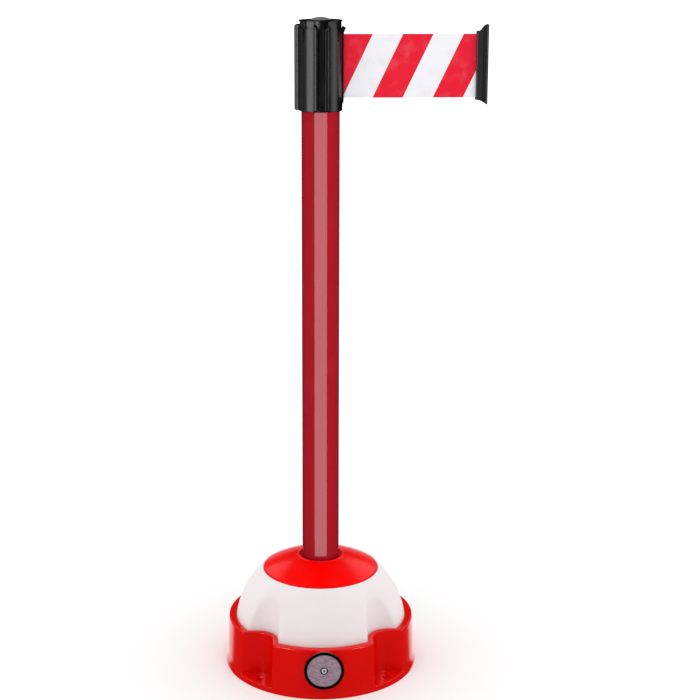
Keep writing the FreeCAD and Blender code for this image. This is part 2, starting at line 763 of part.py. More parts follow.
def belt_span():
    """The belt in the open, its bend behind the outlet, its run to the roll, and its loop round the clip's pin."""
    top = D.belt_low + D.belt_height
    half = D.belt_thickness / 2
    loop_radius = 1.65
    open_run = side_box("belt_open_run", D.belt_bend_x, D.clip_pin_x - loop_radius + 0.1, half, D.belt_low, top)
    roll_line = float(D.wound_radius) + 0.45
    turn = math.degrees(math.acos(roll_line / float(D.belt_bend_x)))
    inner_length = float(D.belt_bend_x) * math.sin(math.radians(turn))
    lead = doc.addObject("Part::Box", "belt_lead")
    bind(lead, Length=inner_length + 0.2, Width=D.belt_thickness, Height=D.belt_height)
    direction = FreeCAD.Rotation(V(0, 0, 1), 90 + turn)
    start = V(float(D.belt_bend_x), 0, 0) - direction.multVec(V(0.2, float(half), 0))
    lead.Placement = FreeCAD.Placement(V(start.x, start.y, float(D.belt_low)), direction)
    bind(lead, Placement__Base__z=D.belt_low)
    loop_outside = cylinder("belt_loop_outside", loop_radius, D.belt_low, top, D.clip_pin_x)
    loop_space = cylinder("belt_loop_space", 1.25, D.belt_low - 1, top + 1, D.clip_pin_x)
    return cut("belt_span", fused("belt_runs", [open_run, lead, loop_outside]), [loop_space])


def clip_half(name, backwards):
    """One moulded half of the end clip: a neck as wide as the whole outline, a thicker grip at the belt's side,
    and half of the T-plate at the far side. It runs from the split plane y = 0 to -Y, or to +Y if backwards."""
    body = doc.addObject("PartDesign::Body", f"{name}_solid")
    shoulder = D.clip_near + 7.5
    hollow = 7.5
    layers = (
        (D.clip_neck_half, [
            (D.clip_near, D.clip_stem_low), (shoulder, D.clip_stem_low - 1.6, -14.0),
            (D.clip_far, D.clip_plate_low), (D.clip_far, D.clip_plate_top, 12.0),
            (D.clip_grip_end, D.clip_plate_top - 3.4, -hollow), (D.clip_near, D.clip_stem_top),
        ]),
        (D.clip_grip_half, [
            (D.clip_near, D.clip_stem_low), (shoulder, D.clip_stem_low - 1.6),
            (D.clip_grip_end, D.clip_stem_low - 2), (D.clip_grip_end, D.clip_stem_top + 2),
            (shoulder, D.clip_stem_top + 1.2), (D.clip_near, D.clip_stem_top),
        ]),
        (D.clip_plate_half, [
            (D.clip_plate_near, D.clip_plate_low + 2.2), (D.clip_far, D.clip_plate_low),
            (D.clip_far, D.clip_plate_top), (D.clip_plate_near, D.clip_plate_top - 0.6),
        ]),
    )
    for number, (half_width, corners) in enumerate(layers):
        sketch = draw(plane_sketch(body, f"{name}_outline_{number}", "XZ_Plane"), corners)
        pad = body.newObject("PartDesign::Pad", f"{name}_layer_{number}")
        pad.Profile = sketch
        pad.Reversed = backwards
        bind(pad, Length=half_width)
    top = D.belt_low + D.belt_height
    pin_space = cylinder(f"{name}_pin_space", 1.9, D.belt_low - 1, top + 1, D.clip_pin_x)
    slot = side_box(f"{name}_belt_slot", D.clip_near - 1, D.clip_pin_x, 0.45, D.belt_low - 0.5, top + 0.5)
    screw_holes = [across(f"{name}_screw_hole_{number}", 1.35, -9.0, 18.0, height)
                   for number, height in enumerate(clip_screw_heights())]
    head_space = [across(f"{name}_head_space_{number}", 2.6, 5.4, 3.6, height)
                  for number, height in enumerate(clip_screw_heights())]
    return cut(name, body, [pin_space, slot] + screw_holes + head_space)


def clip_screw_heights():
    middle = D.belt_low + D.belt_height / 2
    return [middle - 36, middle, middle + 36]


def across(name, radius, start, length, height):
    """A cylinder along +Y at the line of the clip's screws."""
    item = doc.addObject("Part::Cylinder", name)
    bind(item, Radius=radius, Height=length)
    return put(item, D.clip_screw_x, start, height, -90, V(1, 0, 0))


def clip_pin():
    return cylinder("clip_pin", 1.2, D.belt_low - 0.7, D.belt_low + D.belt_height + 0.7, D.clip_pin_x)


def clip_screws():
    """Screws from the back half into the front half."""
    screws = []
    for number, height in enumerate(clip_screw_heights()):
        head = across(f"clip_screw_head_{number}", 2.4, 5.5, 1.4, height)
        shank = across(f"clip_screw_shank_{number}", 1.3, -5.5, 11.5, height)
        screws.append(fused(f"clip_screw_{number}", [head, shank]))
    return grouped("clip_screws", screws)


# ---- the assembly -------------------------------------------------------------------------------

nodes = {
    "base_skirt": base_skirt(),
    "dome_shell": dome_shell(),
    "dome_cap": dome_cap(),
    "ballast_block": ballast_block(),
    "post_socket": post_socket(),
    "bottom_plate": bottom_plate(),
    "base_screws": base_screws(),
    **disc_fitting(),
    "post_tube": post_tube(),
    "tube_foot_plug": tube_foot_plug(),
    **post_bolting(),
    "head_adapter": head_adapter(),
    "head_screws": head_screws(),
    "head_housing": head_housing(),
    "top_cap": top_cap(),
    "cap_insert": cap_insert(),
    "spindle": spindle(),
    "spindle_nut": spindle_nut(),
    "thrust_washers": thrust_washers(),
    "spool": spool(),
    "spring_cup": spring_cup(),
    "power_spring": power_spring(),
    "belt_roll": belt_roll(),
    "belt_span": belt_span(),
    "clip_front": clip_half("clip_front", False),
    "clip_back": clip_half("clip_back", True),
    "clip_pin": clip_pin(),
    "clip_screws": clip_screws(),
}
doc.recompute()

for item in doc.Objects:
    if "Invalid" in item.State or "Error" in item.State:
        raise RuntimeError(f"{item.Name} is {item.State}")

os.makedirs("parts", exist_ok=True)
for node, item in nodes.items():
    item.Label = node
    shape = item.Shape
    if shape.isNull() or not shape.isValid() or not shape.Solids:
        raise RuntimeError(f"{node} has no valid solid")
    shape.exportStep(f"parts/{node}.step")
    print(f"{node}: {len(shape.Solids)} solid(s), {shape.Volume / 1000:.2f} cm3")
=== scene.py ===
import math

import bmesh
import bpy
import numpy as np
from mathutils import Matrix, Vector

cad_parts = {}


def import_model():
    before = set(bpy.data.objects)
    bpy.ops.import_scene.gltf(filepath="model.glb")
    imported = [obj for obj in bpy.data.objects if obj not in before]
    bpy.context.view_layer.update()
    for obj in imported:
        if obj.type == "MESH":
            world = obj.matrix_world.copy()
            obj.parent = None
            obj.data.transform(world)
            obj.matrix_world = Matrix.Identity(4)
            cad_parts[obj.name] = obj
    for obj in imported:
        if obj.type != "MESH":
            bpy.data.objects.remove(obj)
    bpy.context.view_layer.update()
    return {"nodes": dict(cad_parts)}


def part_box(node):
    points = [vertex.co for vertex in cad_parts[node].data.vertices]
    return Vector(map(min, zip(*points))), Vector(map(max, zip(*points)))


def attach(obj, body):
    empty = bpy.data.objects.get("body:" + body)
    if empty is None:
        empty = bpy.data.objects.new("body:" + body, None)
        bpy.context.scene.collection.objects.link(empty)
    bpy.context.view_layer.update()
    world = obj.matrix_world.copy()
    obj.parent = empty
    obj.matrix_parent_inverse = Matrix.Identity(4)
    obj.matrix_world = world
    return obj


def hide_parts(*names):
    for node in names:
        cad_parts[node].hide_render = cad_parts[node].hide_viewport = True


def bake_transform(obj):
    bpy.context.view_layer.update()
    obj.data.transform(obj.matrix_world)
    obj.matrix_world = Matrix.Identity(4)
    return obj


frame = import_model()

# The looks of a retractable-belt stanchion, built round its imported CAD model. Metres, +Z up. The post's axis
# is the Z axis, the belt runs out along +X and the round fitting on the base faces -Y.

MM = 0.001
NODES = frame["nodes"]


def low(node):
    """The lowest corner of a CAD node's box."""
    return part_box(node)[0]


def high(node):
    """The highest corner of a CAD node's box."""
    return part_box(node)[1]


# ---- outlines -----------------------------------------------------------------------------------


def arc(centre, radius, start, end, steps):
    """Points along an arc, angles in degrees, both ends included."""
    angles = np.radians(np.linspace(start, end, steps + 1))
    return np.column_stack([centre[0] + radius * np.cos(angles), centre[1] + radius * np.sin(angles)])


def line(start, end, steps):
    """Evenly spaced points from start to end, both included."""
    return np.linspace(start, end, steps + 1)


def rounded(corners, steps=5):
    """A closed outline. A corner is (x, y) or (x, y, radius), and a radius turns it into an arc."""
    points = []
    for index, corner in enumerate(corners):
        here = np.array(corner[:2], float)
        if len(corner) < 3:
            points.append(here)
            continue
        before = np.array(corners[index - 1][:2], float) - here
        after = np.array(corners[(index + 1) % len(corners)][:2], float) - here
        before, after = before / np.linalg.norm(before), after / np.linalg.norm(after)
        half = math.acos(np.clip(before @ after, -1, 1)) / 2
        middle = (before + after) / np.linalg.norm(before + after)
        centre = here + middle * corner[2] / math.sin(half)
        reach = corner[2] / math.tan(half)
        first, last = here + before * reach - centre, here + after * reach - centre
        start = math.degrees(math.atan2(first[1], first[0]))
        sweep = (math.degrees(math.atan2(last[1], last[0])) - start + 180) % 360 - 180
        points.extend(arc(centre, corner[2], start, start + sweep, steps))
    return np.array(points)


def inset(outline, amount):
    """A counter-clockwise outline moved inwards."""
    edge = np.roll(outline, -1, axis=0) - outline
    outward = np.column_stack([edge[:, 1], -edge[:, 0]]) / np.linalg.norm(edge, axis=1)[:, None]
    before = np.roll(outward, 1, axis=0)
    mitre = (outward + before) / (1 + np.sum(outward * before, axis=1))[:, None]
    return outline - mitre * amount


def shrunk(corners, amount):
    """A counter-clockwise list of corners moved inwards, with each rounding kept concentric."""
    before = np.array([corner[:2] for corner in corners])
    made = []
    for number, spot in enumerate(inset(before, amount)):
        if len(corners[number]) < 3:
            made.append(tuple(spot))
            continue
        arriving = before[number] - before[number - 1]
        leaving = before[(number + 1) % len(before)] - before[number]
        bulges = arriving[0] * leaving[1] - arriving[1] * leaving[0] > 0
        radius = corners[number][2] - amount if bulges else corners[number][2] + amount
        made.append((*spot, max(radius, 0.04 * MM)))
    return made


def edge_levels(bottom, top, round_bottom, round_top, steps=4):
    """(height, inset) pairs of a block whose bottom and top edges are rounded."""
    turns = np.radians(np.linspace(0, 90, steps + 1))
    rounding = [(1 - math.sin(turn), 1 - math.cos(turn)) for turn in turns]
    rising = [(bottom + round_bottom * rise, round_bottom * run) for rise, run in rounding[::-1]]
    closing = [(top - round_top * rise, round_top * run) for rise, run in rounding]
    return (rising if round_bottom else [(bottom, 0)]) + (closing if round_top else [(top, 0)])


# ---- meshes -------------------------------------------------------------------------------------


def upright(outline, height):
    """An (x, y) outline at one height."""
    return np.column_stack([outline, np.full(len(outline), height)])


def sideways(outline, depth):
    """An (x, z) outline at one y."""
    return np.column_stack([outline[:, 0], np.full(len(outline), depth), outline[:, 1]])


def loft(rings, looped=False):
    """A closed bmesh through rings of equally many points: capped at both ends, or looped, with its last ring
    joined to its first. Points that fall together are merged."""
    count = len(rings[0])
    mesh = bmesh.new()
    spots = [[mesh.verts.new(point) for point in ring] for ring in rings]
    pairs = list(zip(spots, spots[1:] + spots[:1])) if looped else list(zip(spots, spots[1:]))
    for first, second in pairs:
        for number in range(count):
            following = (number + 1) % count
            mesh.faces.new([first[number], first[following], second[following], second[number]])
    if not looped:
        mesh.faces.new(spots[0][::-1])
        mesh.faces.new(spots[-1])
    bmesh.ops.remove_doubles(mesh, verts=mesh.verts, dist=1e-7)
    bmesh.ops.dissolve_degenerate(mesh, edges=mesh.edges, dist=1e-8)
    bmesh.ops.recalc_face_normals(mesh, faces=mesh.faces)
    return mesh


def lathe(profile, segments=128, looped=False):
    """A solid of revolution from (radius, height) points: from axis to axis, or a loop clear of the axis."""
    turns = np.radians(np.arange(segments) * 360 / segments)
    profile = np.asarray(profile, float)
    circle = np.column_stack([np.cos(turns), np.sin(turns)])
    return loft([upright(radius * circle, height) for radius, height in profile], looped)


def block(corners, bottom, top, round_bottom=0.0, round_top=0.0, place=upright, steps=5):
    """An outline made thick, with rounded edges at its two ends."""
    return loft([place(rounded(shrunk(corners, amount), steps), height)
                 for height, amount in edge_levels(bottom, top, round_bottom, round_top)])


def moved(mesh, matrix):
    """A bmesh moved as a whole."""
    bmesh.ops.transform(mesh, matrix=matrix, verts=mesh.verts)
    return mesh


def turned(mesh, degrees):
    """A bmesh turned about the post's axis."""
    return moved(mesh, Matrix.Rotation(math.radians(degrees), 4, "Z"))


def piece(name, mesh):
    """An object from a bmesh, which is freed."""
    data = bpy.data.meshes.new(name)
    mesh.to_mesh(data)
    mesh.free()
    made = bpy.data.objects.new(name, data)
    bpy.context.scene.collection.objects.link(made)
    return made


def shape(target, meshes, operation):
    """Join bmeshes to a piece, or cut them out of it, and keep the result as its mesh."""
    tools = [piece(f"tool_{number}", mesh) for number, mesh in enumerate(meshes)]
    for tool in tools:
        step = target.modifiers.new("shape", "BOOLEAN")
        step.operation, step.solver, step.object = operation, "EXACT", tool
    view = bpy.context.evaluated_depsgraph_get()
    result = bpy.data.meshes.new_from_object(target.evaluated_get(view))
    target.modifiers.clear()
    target.data = result
    for tool in tools:
        bpy.data.objects.remove(tool)


def finished(target, body, material, nodes, crease=32):
    """Shade a piece smoothly between its creases, give it its material, and put it in place of its CAD nodes.
    A piece without a body is left unattached."""
    data = target.data
    data.materials.clear()
    data.materials.append(material)
    data.shade_smooth()
    data.set_sharp_from_angle(angle=math.radians(crease))
    normals = target.modifiers.new("normals", "WEIGHTED_NORMAL")
    normals.keep_sharp = True
    if body is not None:
        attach(target, body)
    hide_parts(*nodes)


# ---- materials ----------------------------------------------------------------------------------


class Finish:
    """A node-built material on one Principled shader. Its patterns lie in the object's own metres."""

    def __init__(self, name, colour, roughness, **sockets):
        self.material = bpy.data.materials.new(name)
        self.material.use_nodes = True
        self.tree = self.material.node_tree
        self.shader = self.tree.nodes["Principled BSDF"]
        self.colour = (*colour, 1)
        self.shader.inputs["Base Color"].default_value = self.colour
        self.shader.inputs["Roughness"].default_value = roughness
        for word, value in sockets.items():
            self.shader.inputs[word.replace("_", " ")].default_value = value
        self.place = self.add("ShaderNodeTexCoord").outputs["Object"]
        self.bumps = None

    def add(self, kind, **settings):
        """A shader node whose settings are its own attributes or its sockets' values."""
        node = self.tree.nodes.new(kind)
        for word, value in settings.items():
            if hasattr(node, word):
                setattr(node, word, value)
            else:
                node.inputs[word.replace("_", " ")].default_value = value
        return node

    def link(self, output, socket):
        self.tree.links.new(output, socket)

    def stretched(self, scale):
        """The place, scaled along X, Y and Z."""
        node = self.add("ShaderNodeMapping")
        node.inputs["Scale"].default_value = scale
        self.link(self.place, node.inputs["Vector"])
        return node.outputs["Vector"]

    def noise(self, size, detail, stretch=None):
        """Noise whose blotches are about size metres across."""
        node = self.add("ShaderNodeTexNoise", Scale=1 / size, Detail=detail)
        self.link(self.stretched(stretch) if stretch else self.place, node.inputs["Vector"])
        return node.outputs["Fac"]

    def cells(self, size, feature="F1"):
        """Rounded cells about size metres across."""
        node = self.add("ShaderNodeTexVoronoi", feature=feature, Scale=1 / size)
        self.link(self.place, node.inputs["Vector"])
        return node.outputs["Distance"]

    def between(self, value, low_value, high_value, low_result, high_result):
        """A value mapped from one range to another, and held at its ends."""
        node = self.add("ShaderNodeMapRange")
        self.link(value, node.inputs["Value"])
        for word, number in zip(("From Min", "From Max", "To Min", "To Max"),
                                (low_value, high_value, low_result, high_result)):
            node.inputs[word].default_value = number
        return node.outputs["Result"]

    def math(self, operation, first, second):
        """One arithmetic step on two values, each a number or an output."""
        node = self.add("ShaderNodeMath", operation=operation)
        for number, value in enumerate((first, second)):
            if isinstance(value, (int, float)):
                node.inputs[number].default_value = value
            else:
                self.link(value, node.inputs[number])
        return node.outputs["Value"]

    def tint(self, share, other):
        """Mix the base colour towards another by a share that varies over the surface."""
        node = self.add("ShaderNodeMix", data_type="RGBA")
        first, second = (socket for socket in node.inputs if socket.type == "RGBA")
        base = self.shader.inputs["Base Color"]
        if base.is_linked:
            self.link(base.links[0].from_socket, first)
        first.default_value = self.colour
        second.default_value = (*other, 1)
        self.link(share, node.inputs["Factor"])
        self.link(next(socket for socket in node.outputs if socket.type == "RGBA"), base)
        return self

    def rough(self, value):
        """Let the roughness follow a value."""
        self.link(value, self.shader.inputs["Roughness"])
        return self

    def bump(self, height, distance):
        """Add a relief as deep as distance metres."""
        node = self.add("ShaderNodeBump", Strength=1.0, Distance=distance)
        self.link(height, node.inputs["Height"])
        if self.bumps is not None:
            self.link(self.bumps, node.inputs["Normal"])
        self.bumps = node.outputs["Normal"]
        self.link(self.bumps, self.shader.inputs["Normal"])
        return self


def moulded_plastic(name, colour, roughness, worn, depth=0.012 * MM, **sockets):
    """Injection moulding: slight flow mottling, a fine spark grain, handling marks that change the gloss."""
    finish = Finish(name, colour, roughness, **sockets)
    finish.tint(finish.between(finish.noise(38 * MM, 3), 0.42, 0.75, 0, 0.25), worn)
    marks = finish.noise(22 * MM, 2, stretch=(1, 1, 0.5))
    finish.rough(finish.between(marks, 0.3, 0.75, roughness * 0.93, roughness * 1.12))
    return finish.bump(finish.noise(0.9 * MM, 2), depth)


def skirt_plastic():
    """Red moulding, scuffed pale along the foot."""
    finish = moulded_plastic("red_moulding", (0.735, 0.0014, 0.0002), 0.17, (0.70, 0.001, 0.0002),
                             depth=0.006 * MM, IOR=1.3)
    height = finish.add("ShaderNodeSeparateXYZ")
    finish.link(finish.place, height.inputs["Vector"])
    scuffs = finish.math("MULTIPLY", finish.between(height.outputs["Z"], 0.0, 16 * MM, 1, 0),
                         finish.between(finish.noise(5 * MM, 6, stretch=(1, 1, 3)), 0.56, 0.74, 0, 0.5))
    return finish.tint(scuffs, (0.62, 0.05, 0.035)).material


def cap_plastic():
    return moulded_plastic("red_cap_moulding", (0.95, 0.0006, 0.0), 0.2, (0.93, 0.0006, 0.0),
                           depth=0.006 * MM, IOR=1.25).material


def dome_plastic():
    """White moulding with a leathery spark grain."""
    finish = Finish("white_moulding", (0.87, 0.80, 0.805), 0.62, IOR=1.46)
    finish.tint(finish.between(finish.noise(45 * MM, 4), 0.4, 0.8, 0, 0.5), (0.84, 0.765, 0.77))
    finish.rough(finish.between(finish.noise(20 * MM, 4), 0.3, 0.7, 0.55, 0.7))
    finish.bump(finish.cells(2.6 * MM, "SMOOTH_F1"), 0.10 * MM)
    return finish.bump(finish.noise(1.1 * MM, 3), 0.05 * MM).material


def tube_paint():
    """Gloss-coated tube: an orange-peel coat, faint lengthwise drawing lines, slight hazing."""
    finish = Finish("red_tube", (0.31, 0.0075, 0.016), 0.06, IOR=1.5)
    finish.tint(finish.between(finish.noise(3 * MM, 3, stretch=(1, 1, 0.02)), 0.45, 0.75, 0, 0.5),
                (0.27, 0.006, 0.013))
    finish.tint(finish.between(finish.noise(60 * MM, 3), 0.45, 0.7, 0, 0.4), (0.34, 0.010, 0.018))
    finish.rough(finish.between(finish.noise(30 * MM, 5), 0.3, 0.7, 0.045, 0.085))
    return finish.bump(finish.noise(2.2 * MM, 2), 0.003 * MM).material


def black_gloss():
    """Polished black moulding with faint lengthwise wiping marks."""
    finish = Finish("black_gloss", (0.0012, 0.0013, 0.0017), 0.26, IOR=1.5)
    finish.tint(finish.between(finish.noise(12 * MM, 4), 0.45, 0.8, 0, 0.6), (0.002, 0.0021, 0.0026))
    finish.rough(finish.between(finish.noise(6 * MM, 3, stretch=(1, 1, 0.12)), 0.35, 0.75, 0.23, 0.31))
    return finish.bump(finish.noise(0.8 * MM, 2), 0.006 * MM).material


def black_satin():
    return moulded_plastic("black_moulding", (0.013, 0.0135, 0.0135), 0.4, (0.019, 0.019, 0.02),
                           IOR=1.5).material


def disc_metal():
    """Dull grained disc: fine speckle drawn out sideways, and darker pits."""
    finish = Finish("disc_metal", (0.43, 0.30, 0.375), 0.42, Metallic=0.15, IOR=1.5)
    finish.tint(finish.between(finish.noise(2.2 * MM, 4, stretch=(0.3, 1, 1)), 0.42, 0.6, 0, 0.9),
                (0.27, 0.18, 0.23))
    finish.tint(finish.between(finish.noise(1.1 * MM, 2), 0.6, 0.7, 0, 0.7), (0.72, 0.6, 0.68))
    finish.rough(finish.between(finish.noise(1.4 * MM, 3), 0.3, 0.7, 0.4, 0.62))
    return finish.bump(finish.noise(0.55 * MM, 3, stretch=(0.45, 1, 1)), 0.05 * MM).material


def plated_steel(name, colour, roughness):
    """Bright zinc or ground steel with fine turning lines and cloudy passivation."""
    finish = Finish(name, colour, roughness, Metallic=0.2)
    finish.tint(finish.between(finish.noise(1.6 * MM, 4), 0.4, 0.75, 0, 0.5),
                (colour[0] * 0.75, colour[1] * 0.78, colour[2] * 0.8))
    finish.rough(finish.between(finish.noise(0.7 * MM, 4, stretch=(1, 1, 6)), 0.3, 0.7, roughness * 0.7,
                                roughness * 1.3))
    return finish.bump(finish.noise(0.25 * MM, 2, stretch=(1, 1, 8)), 0.004 * MM).material


def pale_plastic():
    return moulded_plastic("pale_moulding", (0.145, 0.146, 0.15), 0.3, (0.16, 0.16, 0.165),
                           depth=0.008 * MM).material


def grey_plastic():
    return moulded_plastic("grey_moulding", (0.16, 0.16, 0.17), 0.5, (0.19, 0.19, 0.2)).material


def cast_weight():
    """Rough cast ballast with pores and lighter dust."""
    finish = Finish("cast_weight", (0.33, 0.32, 0.30), 0.85)
    finish.tint(finish.between(finish.noise(9 * MM, 6), 0.4, 0.7, 0, 0.8), (0.45, 0.44, 0.42))
    finish.bump(finish.cells(3 * MM), 0.25 * MM)
    return finish.bump(finish.noise(1.2 * MM, 5), 0.15 * MM).material


STRIPE = 47.0 * MM
WEAVE = 0.9 * MM


def belt_fabric(origin):
    """Woven belt with printed slanting stripes. Its pattern is laid out from origin, a piece of the clip, so
    it keeps its size as more belt comes out."""
    finish = Finish("belt_fabric", (0.84, 0.010, 0.034), 0.62, IOR=1.25)
    finish.place = finish.add("ShaderNodeTexCoord", object=origin).outputs["Object"]
    parts = finish.add("ShaderNodeSeparateXYZ")
    finish.link(finish.place, parts.inputs["Vector"])
    along, up = parts.outputs["X"], parts.outputs["Z"]
    belt_low, belt_top = low("belt_span").z, high("belt_span").z
    lean = STRIPE / (belt_top - belt_low)
    red_middle, soft = low("clip_front").x + 3.7 * MM, 0.15 * MM
    slant = finish.math("MULTIPLY", finish.math("SUBTRACT", up, belt_top), lean)
    shifted = finish.math("SUBTRACT", finish.math("SUBTRACT", along, slant), red_middle)
    phase = finish.math("PINGPONG", shifted, STRIPE)
    finish.tint(finish.between(phase, STRIPE / 2 - soft, STRIPE / 2 + soft, 0, 1), (0.89, 0.89, 0.93))
    warp = finish.math("SINE", finish.math("MULTIPLY", along, 2 * math.pi / WEAVE), 0)
    weft = finish.math("SINE", finish.math("MULTIPLY", up, 2 * math.pi / WEAVE), 0)
    weave = finish.math("MULTIPLY", warp, weft)
    finish.tint(finish.between(finish.noise(24 * MM, 4), 0.5, 0.85, 0, 0.25), (0.72, 0.3, 0.32))
    finish.rough(finish.between(weave, -1, 1, 0.7, 0.55))
    finish.bump(weave, 0.05 * MM)
    return finish.bump(finish.noise(0.5 * MM, 3, stretch=(1, 1, 0.3)), 0.02 * MM).material


# ---- base ---------------------------------------------------------------------------------------

FOOT_RADIUS = high("base_skirt").x
RIM_TOP = high("base_skirt").z
FOOT_TOP = 9.5 * MM
FOOT_ROUND = 1.8 * MM
FLARE_TOP = 18 * MM
WALL_LOW = FOOT_RADIUS - 2.4 * MM
WALL_TOP = FOOT_RADIUS - 6.3 * MM
WALL_THICK = 4 * MM
RIM_ROUND = 2.4 * MM
NOTCH_SIDE = 83 * MM
NOTCH_CENTRE = 107 * MM
NOTCH_DRAFT = math.tan(math.radians(1.4))
LOBE_CORNER = 6 * MM
FLOOR_HOLE_RADIUS = 5.75 * MM
FLOOR_HOLE_CIRCLE = 145.5 * MM

DOME_LOW, DOME_TOP = low("dome_shell").z, high("dome_shell").z
DOME_SPHERE = 142.3 * MM
DOME_CENTRE = 57 * MM
FLUTE_SIDE = 72.3 * MM
FLUTE_DRAFT = math.tan(math.radians(3.6))
CAP_RADIUS = high("dome_cap").x
CAP_SEAT = low("dome_cap").z

DISC_HEIGHT = (low("disc_cup").z + high("disc_cup").z) / 2
DISC_RADIUS = high("disc_cup").x
DISC_SEAT = high("disc_cup").y


def half_lobe(radius, side, corner):
    """Outline from the middle of a lobe's round face to just before the middle of the notch beside it."""
    centre = (math.sqrt((radius - corner) ** 2 - (side - corner) ** 2), side - corner)
    turn = math.degrees(math.atan2(centre[1], centre[0]))
    return np.vstack([
        arc((0, 0), radius, 0, turn, 22)[:-1],
        arc(centre, corner, turn, 90, 7)[:-1],
        line((centre[0], side), (NOTCH_CENTRE, side), 4)[:-1],
        arc((NOTCH_CENTRE, NOTCH_CENTRE), NOTCH_CENTRE - side, 270, 225, 16)[:-1],
    ])


def lobed(radius, side, corner, height):
    """A ring with four lobes and four notches at one height."""
    half = half_lobe(radius, side, corner)
    middle = NOTCH_CENTRE - (NOTCH_CENTRE - side) / math.sqrt(2)
    quarter = np.vstack([half, [[middle, middle]], half[:0:-1, ::-1]])
    turns = []
    for _ in range(4):
        turns.append(quarter)
        quarter = np.column_stack([-quarter[:, 1], quarter[:, 0]])
    return upright(np.vstack(turns), height)


def circle_like(ring, radius, height):
    """A round ring whose points lie at the same angles as another ring's."""
    length = np.hypot(ring[:, 0], ring[:, 1])
    return upright(ring[:, :2] * (radius / length)[:, None], height)


def wall_ring(height, grow=0.0):
    """The skirt's outside at a height, moved outwards by grow."""
    share = (height - FOOT_TOP) / (RIM_TOP - FOOT_TOP)
    radius = WALL_LOW + (WALL_TOP - WALL_LOW) * share + grow
    side = NOTCH_SIDE - (height - FOOT_TOP) * NOTCH_DRAFT + grow
    return lobed(radius, side, max(LOBE_CORNER + grow, 1 * MM), height)


def dome_radius(height):
    """The sphere's radius at a height, without its flutes."""
    return math.sqrt(DOME_SPHERE ** 2 - (height - DOME_CENTRE) ** 2)


def facing_front(mesh):
    """A body made about Z, turned so that its +Z end faces -Y and moved to the round fitting's seat."""
    return moved(mesh, Matrix.Translation((0, DISC_SEAT, DISC_HEIGHT)) @ Matrix.Rotation(math.pi / 2, 4, "X"))


def foot_rings():
    """From the floor up to the plain wall. Each lobe's face flares smoothly to the foot, and each notch has a
    flat floor with a rounded edge outside it and a fillet behind it."""
    foot, fillet, flare_low = wall_ring(FOOT_TOP), 1.2 * MM, 3 * MM
    notch = [circle_like(foot, FOOT_RADIUS - amount, height)
             for height, amount in edge_levels(flare_low, FOOT_TOP, 0, FOOT_ROUND, 7)]
    for turn in np.radians(np.linspace(90, 0, 6)):
        notch.append(wall_ring(FOOT_TOP + fillet * (1 - math.sin(turn)), fillet * (1 - math.cos(turn))))
    notch += [wall_ring(height) for height in np.linspace(FOOT_TOP + 3 * MM, FLARE_TOP, 3)]
    distance = np.hypot(foot[:, 0], foot[:, 1])
    share = np.clip((distance - (WALL_LOW - 2.4 * MM)) / (2.3 * MM), 0, 1)
    share = (share ** 2 * (3 - 2 * share))[:, None]
    rings = [circle_like(foot, FOOT_RADIUS - amount, height)
             for height, amount in edge_levels(0, flare_low, 0.5 * MM, 0)[:-1]]
    for height, ring in zip(np.linspace(flare_low, FLARE_TOP, len(notch)), notch):
        lobe = wall_ring(height)
        radius = np.hypot(lobe[:, 0], lobe[:, 1])
        spread = (FOOT_RADIUS - WALL_LOW) * ((FLARE_TOP - height) / (FLARE_TOP - flare_low)) ** 2
        lobe[:, :2] *= (np.minimum(radius + spread, FOOT_RADIUS) / radius)[:, None]
        rings.append(lobe * share + ring * (1 - share))
    return rings


